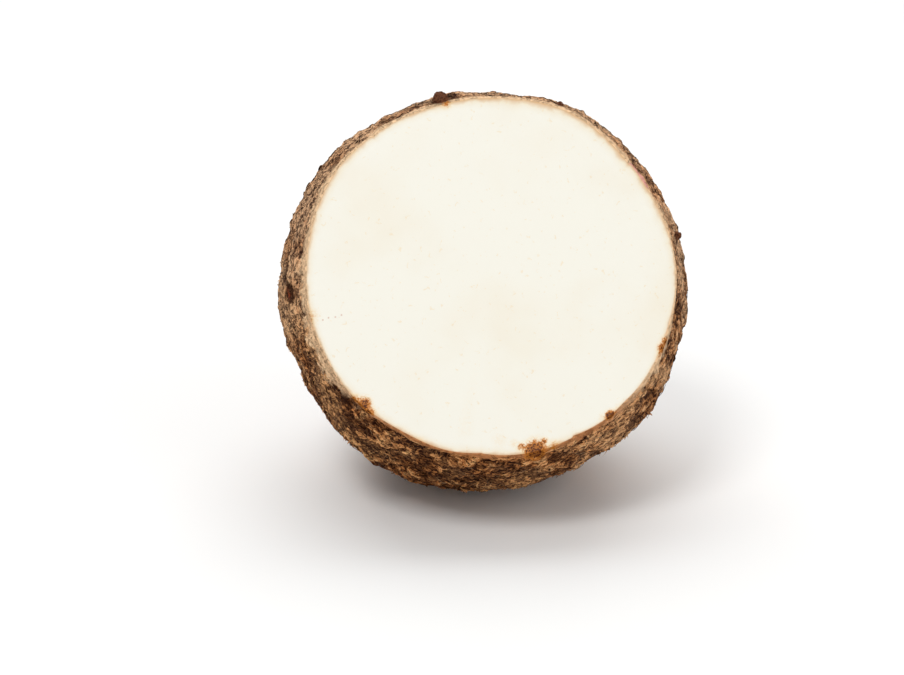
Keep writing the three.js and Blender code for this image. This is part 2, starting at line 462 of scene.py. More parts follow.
def add_cut_sphere(corm):
    """A sphere whose halves are drawn out to the corm's crown and tail, then cut across through the crown."""
    bpy.ops.mesh.primitive_uv_sphere_add(segments=corm.around, ring_count=corm.along, radius=corm.width / 2)
    bpy.ops.object.mode_set(mode="EDIT")
    for side, depth in ((1, crown_depth(corm)), (-1, corm.tail_depth)):
        choose("VERT", lambda vertex: vertex.co.z * side > TINY)
        bpy.ops.transform.resize(value=(1, 1, 2 * depth / corm.width), center_override=(0, 0, 0))
    bpy.ops.mesh.select_all(action="SELECT")
    level = corm.widest_depth
    bpy.ops.mesh.bisect(plane_co=(0, 0, level), plane_no=(0, 0, 1), use_fill=True, clear_outer=True)
    choose("EDGE", lambda edge: all(vertex.co.z > level - FACE_THICK for vertex in edge.verts))
    bpy.ops.mesh.bevel(offset=corm.cut_edge / 2, segments=2, affect="EDGES")
    choose("FACE", lambda face: len(face.verts) > corm.around / 2)
    for _ in range(RIM_INSETS):
        bpy.ops.mesh.inset(thickness=RIM_INSET)
    bpy.ops.mesh.poke()
    bpy.ops.mesh.select_all(action="SELECT")
    bpy.ops.transform.translate(value=(0, 0, -level))
    bpy.ops.object.mode_set(mode="OBJECT")
    return bpy.context.active_object


def spots(points, marks):
    """Soft spots, each with a place, radius and strength: its strength at the place, and 0 far from it."""
    most = np.zeros(len(points))
    for place, radius, strength in marks:
        away = np.linalg.norm(points - place, axis=1) / radius
        most = np.maximum(most, strength * np.exp(-away * away))
    return most


def shape_corm(corm, mesh):
    """Gives the smooth corm its lumps, rings and bulges, and stores where each vertex lies on it."""
    smooth = points_of(mesh)
    store(mesh, "place", smooth)
    radius = np.hypot(smooth[:, 0], smooth[:, 1])
    cut_radius = corm.cut_width / 2
    on_face = smooth[:, 2] > -FACE_THICK
    depth = np.where(on_face, 0, -smooth[:, 2])
    turn = np.degrees(np.arctan2(smooth[:, 1], smooth[:, 0])) % 360
    degrees, flesh_bands, skin_bands = np.array(BANDS).T
    over_flesh = (cut_radius - radius) / np.interp(turn, degrees, flesh_bands)
    over_skin = depth / np.interp(turn, degrees, skin_bands)
    store(mesh, "rim", np.where(on_face, over_flesh, over_skin) / MM)
    store(mesh, "ring", ring_share(smooth)[1])
    beside = smooth.copy()
    beside[on_face, :2] *= (cut_radius / np.maximum(radius[on_face], TINY))[:, None]
    height = swell(beside) + rings(beside) + bulges(corm, beside)
    share = radius / cut_radius
    height = np.where(on_face, height * smooth_step(share, FACE_STEADY / 2, FACE_STEADY), height)
    set_points(mesh, smooth + outward(corm, beside) * height[:, None])
    return smooth, on_face, depth


def store_marks(corm, mesh, smooth):
    """Stores where root traces, scars and scraped skin colour the surface, and lifts the traces a little."""
    eyes = []
    for degrees, inside, radius, strength in EYES:
        eyes.append((face_point(degrees, corm.cut_width / 2 - inside * MM), radius * MM, strength))
    scars = []
    for degrees, depth, radius, strength in SCARS:
        scars.append((skin_point(corm, degrees, depth * MM), radius * MM, strength))
    for degrees, depth, radius, _, _ in stub_places(corm):
        reach = SCAR_ROUND_STUB["reach"] * radius
        scars.append((skin_point(corm, degrees, depth), reach, SCAR_ROUND_STUB["strength"]))
    scrapes = [(skin_point(corm, degrees, depth * MM), radius * MM, 1) for degrees, depth, radius in SCRAPES]
    eye = spots(smooth, eyes)
    store(mesh, "eye", eye)
    store(mesh, "scar", spots(smooth, scars))
    store(mesh, "scrape", spots(smooth, scrapes))
    points = points_of(mesh)
    points[:, 2] += EYE_RISE * np.maximum(eye - EYE_FLAT, 0)
    set_points(mesh, points)


def bark_weights(smooth, depth):
    """How much of the bark's relief each vertex gets: none beside the cut, less high up and at the right."""
    low = smooth_step(-smooth[:, 1], *LOW_SIDE)
    low = low * (LOW_RIGHT + (1 - LOW_RIGHT) * smooth_step(-smooth[:, 0], *LEFT_SIDE))
    return smooth_step(depth, BARK_FREE_DEPTH, BARK_FULL_DEPTH) * (BARK_HIGH_UP + (1 - BARK_HIGH_UP) * low)


def displace(piece, texture, strength, **settings):
    """Moves the active piece's surface out by a texture, which is then removed."""
    layer = piece.modifiers.new(texture.name, "DISPLACE")
    layer.texture = texture
    layer.strength = strength
    for setting, value in settings.items():
        setattr(layer, setting, value)
    bpy.ops.object.modifier_apply(modifier=layer.name)
    bpy.data.textures.remove(texture)


def add_bark(piece, weights):
    """Raises the layers of bark, each as much as the weights say, and stores how far each vertex moved."""
    group = piece.vertex_groups.new(name=BARK_GROUP)
    full = np.flatnonzero(weights > 1 - TINY)
    group.add(full.tolist(), 1, "REPLACE")
    for index in np.flatnonzero((weights > TINY) & (weights <= 1 - TINY)):
        group.add([int(index)], float(weights[index]), "REPLACE")
    before, way = points_of(piece.data), normals_of(piece.data)
    for name, kind, size, drawn_out, height, settings in BARK_LAYERS:
        bpy.ops.object.empty_add()
        guide = bpy.context.active_object
        guide.scale = (drawn_out, drawn_out, 1)
        texture = bpy.data.textures.new(name, kind)
        texture.noise_scale = size
        for setting, value in settings.items():
            setattr(texture, setting, value)
        select_only(piece)
        guided = {"texture_coords": "OBJECT", "texture_coords_object": guide, "vertex_group": BARK_GROUP}
        displace(piece, texture, height, **guided)
        bpy.data.objects.remove(guide)
    raised = points_of(piece.data)
    moved = ((raised - before) * way).sum(axis=1)
    settle = weights * (moved[full].mean() + BARK_SUNK)
    set_points(piece.data, raised - way * settle[:, None])
    store(piece.data, "height", (moved - settle) / MM)


def flatten_rest(piece):
    """Presses what would reach below the table flat on it."""
    points = points_of(piece.data)
    points[:, 2] = np.maximum(points[:, 2], 0)
    set_points(piece.data, points)


class TARO_OT_corm(bpy.types.Operator):
    """The corm: rough skin, and the flat cut face with its root traces"""

    bl_idname = "taro.corm"
    bl_label = "Corm"

    def execute(self, context):
        corm = context.scene.taro_corm
        deselect_all()
        piece = add_cut_sphere(corm)
        put_in_order(piece)
        piece.name = "corm"
        smooth, on_face, depth = shape_corm(corm, piece.data)
        store_marks(corm, piece.data, smooth)
        add_bark(piece, bark_weights(smooth, depth))
        piece.data.transform(lay_down(corm))
        flatten_rest(piece)
        piece.data.materials.append(skin_material(context.scene.taro_finish))
        piece.data.materials.append(flesh_material(corm, context.scene.taro_finish))
        for face in piece.data.polygons:
            face.material_index = int(all(on_face[index] for index in face.vertices))
        select_only(piece)
        bpy.ops.object.shade_smooth_by_angle(angle=SKIN_CREASE)
        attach(piece, "root")
        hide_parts("taro_root")
        return {"FINISHED"}


# Copies of a pattern, scattered over the skin.

SKIN_MARKS = ("rim", "ring", "eye", "scar", "scrape")
COPY_FREE_DEPTH = 0.5 * MM


def skin_mesh():
    return bpy.data.objects["corm"].data


def add_bent_grid(columns, rows, folds):
    """A square grid, 1 by 1, whose points are drawn together and then moved, fold by fold."""
    bpy.ops.mesh.primitive_grid_add(x_subdivisions=columns, y_subdivisions=rows, size=1)
    bpy.ops.object.mode_set(mode="EDIT")
    for axis, low, high, together, move in folds:
        choose("VERT", lambda vertex: low < getattr(vertex.co, axis) < high)
        bpy.ops.transform.resize(value=together)
        bpy.ops.transform.translate(value=move)
    bpy.ops.object.mode_set(mode="OBJECT")
    return bpy.context.active_object


def steady_normals(corm, smooth):
    """Ways square to the smooth corm, as it lies."""
    from_widest = smooth[:, 2] + corm.widest_depth
    reach = np.where(from_widest > 0, crown_depth(corm), corm.tail_depth)
    way = np.stack([smooth[:, 0], smooth[:, 1], from_widest * (corm.width / 2 / reach) ** 2], 1)
    way = way @ np.array(lay_down(corm).to_3x3()).T
    return way / np.linalg.norm(way, axis=1, keepdims=True)


def skin_spots(corm, count, density, generator, steady):
    """Picks places on the skin's faces: their middles, normals, ways round the corm and first vertices.

    A steady of 1 takes the normals from the smooth corm, and 0 from the faces.
    """
    mesh = skin_mesh()
    smooth = values_of(mesh, "place")
    first = np.array([face.vertices[0] for face in mesh.polygons])
    numbers = {}
    for key, width in (("center", 3), ("normal", 3), ("area", 1)):
        numbers[key] = np.empty(len(mesh.polygons) * width, np.float32)
        mesh.polygons.foreach_get(key, numbers[key])
    middle, normal = numbers["center"].reshape(-1, 3), numbers["normal"].reshape(-1, 3)
    depth = -smooth[first, 2]
    chance = numbers["area"] * (depth > COPY_FREE_DEPTH) * density(smooth[first], middle)
    picked = generator.choice(len(chance), count, p=chance / chance.sum())
    way = normal[picked] * (1 - steady) + steady_normals(corm, smooth[first[picked]]) * steady
    way /= np.linalg.norm(way, axis=1, keepdims=True)
    axis = np.array(lay_down(corm).to_3x3().col[2])
    round_way = np.cross(axis, way)
    round_way /= np.linalg.norm(round_way, axis=1, keepdims=True)
    return middle[picked], way, round_way, first[picked]


def copy_axes(normal, round_way, turn, tilt, sizes):
    """Three axes for each copy: along the skin, turned about its normal, across that, and up after a tilt.

    The sizes are the copies' lengths, widths and heights.
    """
    other_way = np.cross(normal, round_way)
    long_way = round_way * np.cos(turn)[:, None] + other_way * np.sin(turn)[:, None]
    wide_way = np.cross(normal, long_way)
    up_way = normal * np.cos(tilt)[:, None] + wide_way * np.sin(tilt)[:, None]
    ways = (long_way, wide_way, up_way)
    return np.stack([way * size[:, None] for way, size in zip(ways, sizes)], 1)


def scatter(name, pattern, feet, axes):
    """One piece of copies of the pattern, each placed by its foot and axes."""
    shape = points_of(pattern.data)
    sides = np.array([face.vertices[:] for face in pattern.data.polygons])
    count = len(feet)
    points = feet[:, None] + np.einsum("pk,nkx->npx", shape, axes)
    faces = sides[None] + np.arange(count)[:, None, None] * len(shape)
    mesh = bpy.data.meshes.new(name)
    mesh.from_pydata(points.reshape(-1, 3), [], faces.reshape(-1, sides.shape[1]))
    piece = bpy.data.objects.new(name, mesh)
    bpy.context.collection.objects.link(piece)
    bpy.data.objects.remove(pattern)
    return piece


def carry_marks(corm, piece, feet, first, each):
    """Gives each copy the skin's marks at its foot, and its vertices their places on the smooth corm."""
    skin = skin_mesh()
    for name in SKIN_MARKS:
        store(piece.data, name, np.repeat(values_of(skin, name)[first], each))
    back = np.linalg.inv(np.array(lay_down(corm).to_3x3()))
    from_foot = points_of(piece.data) - np.repeat(feet, each, axis=0)
    places = np.repeat(values_of(skin, "place")[first], each, axis=0) + from_foot @ back.T
    store(piece.data, "place", places)


def add_copies(corm, name, pattern, feet, first, axes, tone, material):
    """Makes a piece of copies of the pattern, each with its own tone and the skin's marks at its foot."""
    each = len(pattern.data.vertices)
    piece = scatter(name, pattern, feet, axes)
    carry_marks(corm, piece, feet, first, each)
    flatten_rest(piece)
    store(piece.data, "tone", np.repeat(tone, each))
    piece.data.materials.append(material)
    select_only(piece)
    bpy.ops.object.shade_smooth()
    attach(piece, "root")


# Scales of bark.

SCALE_SEED = 7
# Which points of the grid, by axis and limits, are drawn together and moved, and how far.
SCALE_FOLDS = (
    ("y", -1, -0.4, (1, 1, 1), (0, 0, -0.35)),
    ("y", -0.1, 0.1, (1, 1, 1), (0, 0, 0.22)),
    ("y", 0.4, 1, (0.8, 1, 1), (0, 0, 0.3)),
    ("x", 0.3, 1, (1, 0.35, 0.6), (0.12, -0.1, -0.2)),
    ("x", -1, -0.3, (1, 0.55, 0.8), (0, 0.12, -0.15)),
)
SCALES_BEHIND = 0.55  # how many are left far behind the cut, and how many more there are at the cut
SCALES_AT_CUT = 0.9
SCALES_THIN_OUT = 18 * MM
SCALES_UNDER = {"height": 3 * MM, "share": 0.1}
SCALE_STEADY = 0.35
SCALE_TURN = 0.75
SCALE_TILT = 0.16
SCALE_SPREAD = 0.4
SCALE_SPREAD_ENDS = (-1, 0.7)
SCALE_SLIM = (0.32, 0.65)
SCALE_THICK = (0.35 * MM, 0.85 * MM)
# Size at the cut as a share of the usual one, what it gains just past the cut, and far behind it.
SCALE_GROWTH = {"at cut": 0.4, "past cut": 0.45, "behind": 0.6}
PAST_CUT = (0, 4 * MM)
FAR_BEHIND = (20 * MM, 50 * MM)
# Scales in the skin's hollows are painted darker as shade, and those on its ridges lighter as painted
# highlight.
SCALE_RAISED = (-0.9, 0.5)  # millimetres of relief between which a scale turns from dark to light
SCALE_TONE_BEHIND = 0.45


def add_scale():
    """One scale of bark: 1 long and 1 wide, rooted along one side, lifted at the other, with ragged ends."""
    return add_bent_grid(3, 2, SCALE_FOLDS)


def scale_density(smooth, middle):
    """Scales crowd towards the cut, and thin out on the underside where the corm lies."""
    density = SCALES_BEHIND + SCALES_AT_CUT * np.exp(smooth[:, 2] / SCALES_THIN_OUT)
    return density * np.where(middle[:, 2] < SCALES_UNDER["height"], SCALES_UNDER["share"], 1)


class TARO_OT_scales(bpy.types.Operator):
    """Loose scales of bark on the skin, most of them lying round the corm"""

    bl_idname = "taro.scales"
    bl_label = "Bark scales"

    def execute(self, context):
        corm = context.scene.taro_corm
        generator = np.random.default_rng(SCALE_SEED)
        count = corm.scales
        feet, normal, round_way, first = skin_spots(corm, count, scale_density, generator, SCALE_STEADY)
        depth = -values_of(skin_mesh(), "place")[first, 2]
        past_cut, behind = smooth_step(depth, *PAST_CUT), smooth_step(depth, *FAR_BEHIND)
        turn = generator.normal(0, SCALE_TURN, count) + math.pi * generator.integers(0, 2, count)
        tilt = generator.normal(0, SCALE_TILT, count)
        spread = np.clip(generator.normal(0, SCALE_SPREAD, count), *SCALE_SPREAD_ENDS)
        at_cut = SCALE_GROWTH["at cut"]
        growth = at_cut + SCALE_GROWTH["past cut"] * past_cut + SCALE_GROWTH["behind"] * behind
        length = corm.scale_length * np.exp(spread) * growth
        width = length * generator.uniform(*SCALE_SLIM, count)
        height = generator.uniform(*SCALE_THICK, count) * (at_cut + (1 - at_cut) * past_cut)
        axes = copy_axes(normal, round_way, turn, tilt, (length, width, height))
        # Half of each scale's tone follows the relief, as painted shade and painted highlight; the other half
        # is random.
        raised = smooth_step(values_of(skin_mesh(), "height")[first], *SCALE_RAISED)
        tone = (generator.uniform(0, 1, count) + raised) / 2
        tone = tone + behind / 2 * (SCALE_TONE_BEHIND - tone)
        deselect_all()
        material = scale_material(context.scene.taro_finish)
        add_copies(corm, "bark_scales", add_scale(), feet, first, axes, tone, material)
        return {"FINISHED"}


# Fringes of old leaf bases.

STRAND_SEED = 5
# Folds as for the scales: the strand narrows and lifts towards its free end.
STRAND_FOLDS = (
    ("x", -0.6, 1, (1, 1, 1), (0, 0, -0.25)),
    ("x", -0.3, 1, (1, 1, 1), (0, 0, 0.2)),
    ("x", -0.1, 1, (1, 0.85, 1), (0, 0, 0.15)),
    ("x", 0.2, 1, (1, 0.8, 1), (0, 0, 0.1)),
    ("x", 0.4, 1, (1, 0.5, 1), (0, 0, 0.1)),
)
FRINGE_AT = 0.66  # where along its spacing a ring carries its fringe
FRINGE_DEEP = 0.08
STRANDS_BETWEEN = 0.05  # how many lie between the rings, as a share
FRINGE_DEPTHS = (14 * MM, 40 * MM)
STRAND_FREE_HEIGHT = 2 * MM
STRAND_STEADY = 0.85
STRAND_TURN = 0.22
STRAND_TILT = 0.25
STRAND_SPREAD = 0.35
STRAND_SPREAD_ENDS = (-1, 0.6)
STRAND_WIDTH = (0.25 * MM, 0.6 * MM)
STRAND_RISE = (0.3 * MM, 1.1 * MM)
STRAND_OUT = 0.3  # share of its length by which a strand is moved out over its foot
STRAND_TONE = (0.1, 0.85)


def add_strand():
    """One strand: 1 long and 1 wide, rooted at one end, narrow and lifted at the other."""
    return add_bent_grid(4, 1, STRAND_FOLDS)


def strand_density(smooth, middle):
    """Strands sit along the rings, hardly any near the cut, and none where the corm lies."""
    on_ring = np.exp(-(((ring_share(smooth)[1] - FRINGE_AT) / FRINGE_DEEP) ** 2))
    on_skin = smooth_step(-smooth[:, 2], *FRINGE_DEPTHS) * (middle[:, 2] > STRAND_FREE_HEIGHT)
    return (on_ring + STRANDS_BETWEEN) * on_skin


class TARO_OT_fringes(bpy.types.Operator):
    """Fibrous fringes of old leaf bases, along the rings and pointing to the root end"""

    bl_idname = "taro.fringes"
    bl_label = "Ring fringes"

    def execute(self, context):
        corm = context.scene.taro_corm
        generator = np.random.default_rng(STRAND_SEED)
        count = corm.strands
        feet, normal, round_way, first = skin_spots(corm, count, strand_density, generator, STRAND_STEADY)
        turn = generator.normal(-math.pi / 2, STRAND_TURN, count)
        tilt = generator.normal(0, STRAND_TILT, count)
        spread = np.clip(generator.normal(0, STRAND_SPREAD, count), *STRAND_SPREAD_ENDS)
        length = corm.strand_length * np.exp(spread)
        width = generator.uniform(*STRAND_WIDTH, count)
        rise = generator.uniform(*STRAND_RISE, count)
        axes = copy_axes(normal, round_way, turn, tilt, (length, width, rise))
        feet = feet + STRAND_OUT * axes[:, 0]
        tone = generator.uniform(*STRAND_TONE, count)
        deselect_all()
        material = scale_material(context.scene.taro_finish)
        add_copies(corm, "ring_fringes", add_strand(), feet, first, axes, tone, material)
        return {"FINISHED"}


# Fine roots.

HAIR_SEED = 11
HAIR_ROUTE = ((-0.5, 0.0, -0.04), (-0.2, 0.09, 0.05), (0.15, -0.07, 0.04), (0.5, 0.05, -0.04))
HAIR_RADIUS = 0.014  # as a share of its length
HAIR_STEPS = 4
HAIRS_LOW = (5 * MM, 50 * MM)  # how far below the middle of the cut they start, and are at their most
HAIRS_BEHIND = (45 * MM, 85 * MM)
HAIR_CROWDS = {"anywhere": 0.03, "behind": 0.8}
HAIR_FREE_DEPTH = 3 * MM
HAIR_FREE_HEIGHT = 1 * MM
HAIR_STEADY = 0.9
HAIR_TURN = 0.7
HAIR_TILT = 0.1
HAIR_SPREAD = 0.4
HAIR_BEND = (0.5, 1.6)
HAIR_RISE = (0.7, 1.4)
HAIR_LIFT = 0.1 * MM


def add_hair():
    """One fine root, 1 long, which winds a little and has both its ends in the skin."""
    bpy.ops.curve.primitive_bezier_curve_add()
    hair = bpy.context.active_object
    line = hair.data.splines[0]
    line.bezier_points.add(len(HAIR_ROUTE) - len(line.bezier_points))
    for point, place in zip(line.bezier_points, HAIR_ROUTE):
        point.co = place
        point.handle_left_type = point.handle_right_type = "AUTO"
    hair.data.resolution_u = HAIR_STEPS
    hair.data.bevel_depth = HAIR_RADIUS
    hair.data.bevel_resolution = 0
    select_only(hair)
    bpy.ops.object.convert(target="MESH")
    return bpy.context.active_object


def hair_density(smooth, middle):
    """Fine roots are left mostly low on the corm and at its root end."""
    _, up, out = smooth.T
    low, behind = smooth_step(-up, *HAIRS_LOW), smooth_step(-out, *HAIRS_BEHIND)
    density = HAIR_CROWDS["anywhere"] + low + HAIR_CROWDS["behind"] * behind
    return density * (-out > HAIR_FREE_DEPTH) * (middle[:, 2] > HAIR_FREE_HEIGHT)


class TARO_OT_fine_roots(bpy.types.Operator):
    """Dried fine roots that lie on the skin"""

    bl_idname = "taro.fine_roots"
    bl_label = "Fine roots"

    def execute(self, context):
        corm = context.scene.taro_corm
        generator = np.random.default_rng(HAIR_SEED)
        count = corm.hairs
        feet, normal, round_way, first = skin_spots(corm, count, hair_density, generator, HAIR_STEADY)
        turn = generator.normal(0, HAIR_TURN, count)
        tilt = generator.normal(0, HAIR_TILT, count)
        length = corm.hair_length * np.exp(generator.normal(0, HAIR_SPREAD, count))
        bend = generator.choice([-1.0, 1.0], count) * generator.uniform(*HAIR_BEND, count) * length
        rise = corm.hair_length * generator.uniform(*HAIR_RISE, count)
        axes = copy_axes(normal, round_way, turn, tilt, (length, bend, rise))
        feet = feet + normal * HAIR_LIFT
        tone = generator.uniform(0, 1, count)
        deselect_all()
        material = root_material(context.scene.taro_finish)
        add_copies(corm, "fine_roots", add_hair(), feet, first, axes, tone, material)
        return {"FINISHED"}


# Stubs.

STUB_FOOT = {"vertices": 16, "radius": 1.15, "location": (0, 0, -1)}
# Steps up from the sunken foot: how far each one rises, and how far the stub narrows there.
STUB_STEPS = ((0.8, 0.92), (0.4, 0.86), (0.35, 0.8), (0.25, 0.68), (0.12, 0.55))
STUB_RIM = 0.08
STUB_HOLLOW = 0.12
KNOB_SIZE = 0.55
KNOB_HEIGHT = 0.6
STUB_CREASE = math.radians(40)


def draw(index, step):
    """A repeatable draw between -1 and 1 for stub number `index`."""
    return 2 * ((index * step) % 1) - 1


def stub_places(corm):
    """Degrees, depth, radius at the foot, height and lean of each stub, beside the cut and over the skin."""
    places = [(degrees, *(size * MM for size in sizes), 0.0) for degrees, *sizes in EDGE_STUBS]
    last = corm.widest_depth + corm.tail_depth - corm.cut_edge
    for i in range(1, STUB_COUNT + 1):
        size = 1 + STUB_SPREAD * draw(i, EVEN_STEPS["size"])
        degrees = math.degrees(i * GOLDEN_ANGLE)
        depth = STUB_FREE_DEPTH + (last - STUB_FREE_DEPTH) * (1 + draw(i, EVEN_STEPS["depth"])) / 2
        foot = lay_down(corm) @ Vector(skin_point(corm, degrees, depth))
        if foot.z > STUB_FREE_HEIGHT:
            lean = STUB_LEAN * draw(i, EVEN_STEPS["lean"])
            places.append((degrees, depth, STUB_RADIUS * size, STUB_HEIGHT * size, lean))
    return places


def add_broken_stub():
    """One root, broken off short: an uneven knob with a hollow end, about 1 high and 1 in radius."""
    bpy.ops.mesh.primitive_circle_add(fill_type="NGON", **STUB_FOOT)
    bpy.ops.object.mode_set(mode="EDIT")
    bpy.ops.mesh.select_all(action="SELECT")
    for rise, narrower in STUB_STEPS:
        bpy.ops.mesh.extrude_region_move(TRANSFORM_OT_translate={"value": (0, 0, rise)})
        bpy.ops.transform.resize(value=(narrower, narrower, 1))
    bpy.ops.mesh.inset(thickness=STUB_RIM)
    bpy.ops.mesh.extrude_region_move(TRANSFORM_OT_translate={"value": (0, 0, -STUB_HOLLOW)})
    bpy.ops.mesh.poke()
    bpy.ops.object.mode_set(mode="OBJECT")
    bpy.ops.object.transform_apply()
    stub = bpy.context.active_object
    put_in_order(stub)
    texture = bpy.data.textures.new("knob", "CLOUDS")
    texture.noise_scale = KNOB_SIZE
    displace(stub, texture, KNOB_HEIGHT)
    return stub


class TARO_OT_stubs(bpy.types.Operator):
    """Short stubs of broken roots, all over the skin"""

    bl_idname = "taro.stubs"
    bl_label = "Root stubs"

    def execute(self, context):
        corm = context.scene.taro_corm
        lay = lay_down(corm)
        deselect_all()
        pattern = add_broken_stub()
        copies = []
        for number, (degrees, depth, radius, height, lean) in enumerate(stub_places(corm)):
            foot = roughened(corm, skin_point(corm, degrees, depth)[None])
            way = outward(corm, foot)[0] + (lean, lean, 0)
            turn = (lay.to_3x3() @ Vector(way)).to_track_quat("Z", "Y")
            place = Matrix.LocRotScale(lay @ Vector(foot[0]), turn, (radius, radius, height))
            copy = pattern.copy()
            copy.data = pattern.data.copy()
            context.collection.objects.link(copy)
            copy.data.transform(place @ Matrix.Rotation(number, 4, "Z"))
            copies.append(copy)
        bpy.data.objects.remove(pattern)
        select_only(copies[0])
        for copy in copies:
            copy.select_set(True)
        bpy.ops.object.join()
        piece = context.active_object
        piece.name = "root_stubs"
        bpy.ops.object.shade_smooth_by_angle(angle=STUB_CREASE)
        piece.data.materials.append(root_material(context.scene.taro_finish))
        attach(piece, "root")
        return {"FINISHED"}


# Materials.

# How a value of the surface becomes a share: from which value to which other one, and the shares at both.
RAMPS = {
    "fleck noise": (0.25, 0.75, 0, 1),
    "uneven trace": (0.3, 0.7, 0.65, 1.3),
    "trace halo": (0.05, 0.5, 0, 1),
    "trace orange": (0.3, 0.6, 0, 1),
    "trace middle": (0.5, 1.05, 0, 1),
    "behind": (-18 * MM, -50 * MM, 0, 1),
    # Painted shade: these two darken the bark low on the corm, most at the left.
    "left": (42 * MM, -5 * MM, 0.55, 1),
    "low": (20 * MM, -52 * MM, 0, 0.85),
    "patches": (0.35, 0.65, -0.35, 0.5),
    # Lightens the lightest tones: random pale scales, and a painted highlight on raised bark.
    "light_tone_and_crest_highlight": (0.55, 0.9, 0, 0.8),
    # Lifts the tone where there is little painted shade, so the upper bark is painted lighter.
    "lift out of shade and dark end": (0, 1, 0.45, 0),
    # Darkens the dark tones: random dark scales, and painted shade in the bark's hollows.
    "dark_tone_and_hollow_shade": (0.75, 0.1, 0, 1),
    "valley": (0.3, 0.5, 0, 1),
    "dashes behind": (0, 1, 0.9, 0.5),
    "dashes at the right": (20 * MM, 50 * MM, 1, 0.75),
    # Painted shade in the grooves between the fibres.
    "between fibres": (0.55, 0.35, 0, 0.35),
    "band": (0, 0.35, 0, 1),
    "band in cracks": (0.2, 1, 1, 0.75),
    "band between fibres": (0.6, 0.4, 1, 0.75),
    "low band": (-28 * MM, -46 * MM, 0, 1),
    "red fibres": (0.85, 1.15, 0, 1),
    "scar": (0.2, 0.75, 0, 0.85),
    "scrape": (0.15, 0.5, 0, 1),
    "bark roughness": (0, 0.9, 0.95, 0.7),
    # Turns the skin's relief into tone, for painted shade in its hollows.
    "skin tone": (-0.6, 0.3, 0, 1),
    "warm flesh": (0.45, 0.8, 0, 0.6),
    "dot": (DOT_RADIUS, DOT_RADIUS / 4, 0, 0.5),
    "flesh roughness": (0.3, 0.7, 0.5, 0.65),
    "light root": (0.5, 1, 0, 1),
    "root roughness": (0.3, 0.7, 0.7, 0.95),
}

# Flecks by what they are for, and fades from the rim.
DASHES = {"Size": 0.9 * MM, "Drawn_out": 1.6, "Cover": 0.41, "Softness": 0.06}
FIBRES = {"Size": 0.5 * MM, "Drawn_out": 2.5, "Cover": 0.4, "Softness": 0.2}
TRACE_FLECKS = {"Size": 0.7 * MM, "Drawn_out": 1.0, "Cover": 0.4, "Softness": 0.2}
SPECKS = {"Size": 1.6 * MM, "Drawn_out": 1.0, "Cover": 0.09, "Softness": 0.05}
END_FIBRES = {"Size": 0.6 * MM, "Drawn_out": 1.0, "Cover": 0.45, "Softness": 0.3}
SKIN_BAND = {"Reach": 1.0, "Wander": 2.6}
FLESH_STAIN = {"Reach": 2.6, "Wander": 0.8}
FLESH_EDGE = {"Reach": 1.0, "Wander": 2.2}

TRACE_HALO = srgb(240, 206, 146)
TRACE_ORANGE = srgb(202, 124, 50)
TRACE_MIDDLE = srgb(86, 42, 18)
SCRAPED = srgb(246, 180, 162)
SPECK = srgb(238, 212, 160)
STAIN = srgb(238, 214, 172)
DOT = srgb(196, 132, 90)

TRACE_SOLID = 0.6  # how much of a trace's middle shows between its flecks
FLESH_HALO = 0.6
STAINED_BEHIND = 0.6
RING_MIDDLE = 0.47
FIBRES_OVER_CRACKS = 0.35
BARK_FINE = 1.4
BARK_DEEP = 0.6
# Bumps: strength and height.
SKIN_BUMP = (1.0, 0.6 * MM)
SCALE_BUMP = (1.0, 0.4 * MM)
FLESH_BUMP = (0.25, 0.1 * MM)
ROOT_BUMP = (0.6, 0.3 * MM)
SPECK_STRENGTH = 0.35
STAIN_POWER = 2.4
EDGE_POWER = 1.4
END_FIBRE_STRENGTH = 0.85
# How strongly bark, flesh and roots shine.
SHINE = {"bark": 0.05, "flesh": 0.35, "root": 0.1}

# A colour mix node's factor and colours among its inputs, and its result among its outputs.
MIX_INPUTS = (0, 6, 7)
MIX_RESULT = 2


class Nodes:
    """Adds nodes to one tree and joins them as they are added."""

    def __init__(self, tree):
        self.tree = tree

    def add(self, kind, inputs=(), **settings):
        node = self.tree.nodes.new(kind)
        for setting, value in settings.items():
            setattr(node, setting, value)
        for socket, value in dict(inputs).items():
            if isinstance(value, bpy.types.NodeSocket):
                self.tree.links.new(value, node.inputs[socket])
            else:
                node.inputs[socket].default_value = value
        return node

    def join(self, value, socket):
        self.tree.links.new(value, socket)

    def attribute(self, name, output="Fac"):
        return self.add("ShaderNodeAttribute", attribute_name=name).outputs[output]

    def maths(self, operation, *values, clamp=False):
        return self.add("ShaderNodeMath", enumerate(values), operation=operation, use_clamp=clamp).outputs[0]

    def times(self, first, second):
        return self.maths("MULTIPLY", first, second)

    def spread(self, value, low, high, to_low=0.0, to_high=1.0):
        """The value's way from low to high, eased at both ends."""
        inputs = {"Value": value, "From Min": low, "From Max": high, "To Min": to_low, "To Max": to_high}
        return self.add("ShaderNodeMapRange", inputs, interpolation_type="SMOOTHSTEP").outputs["Result"]

    def ramp(self, name, value):
        return self.spread(value, *RAMPS[name])

    def noise(self, place, **inputs):
        return self.add("ShaderNodeTexNoise", {"Vector": place, **inputs}).outputs["Fac"]

    def bump(self, height, strength, distance):
        inputs = {"Height": height, "Strength": strength, "Distance": distance}
        return self.add("ShaderNodeBump", inputs).outputs[0]

    def mix(self, share, first, second):
        """The colour that lies a share of the way from the first to the second."""
        colours = [c if isinstance(c, bpy.types.NodeSocket) else (*c, 1) for c in (first, second)]
        inputs = dict(zip(MIX_INPUTS, (share, *colours)))
        return self.add("ShaderNodeMix", inputs, data_type="RGBA").outputs[MIX_RESULT]

    def group(self, tree, **inputs):
        named = {name.replace("_", " "): value for name, value in inputs.items()}
        return self.add("ShaderNodeGroup", named, node_tree=tree).outputs


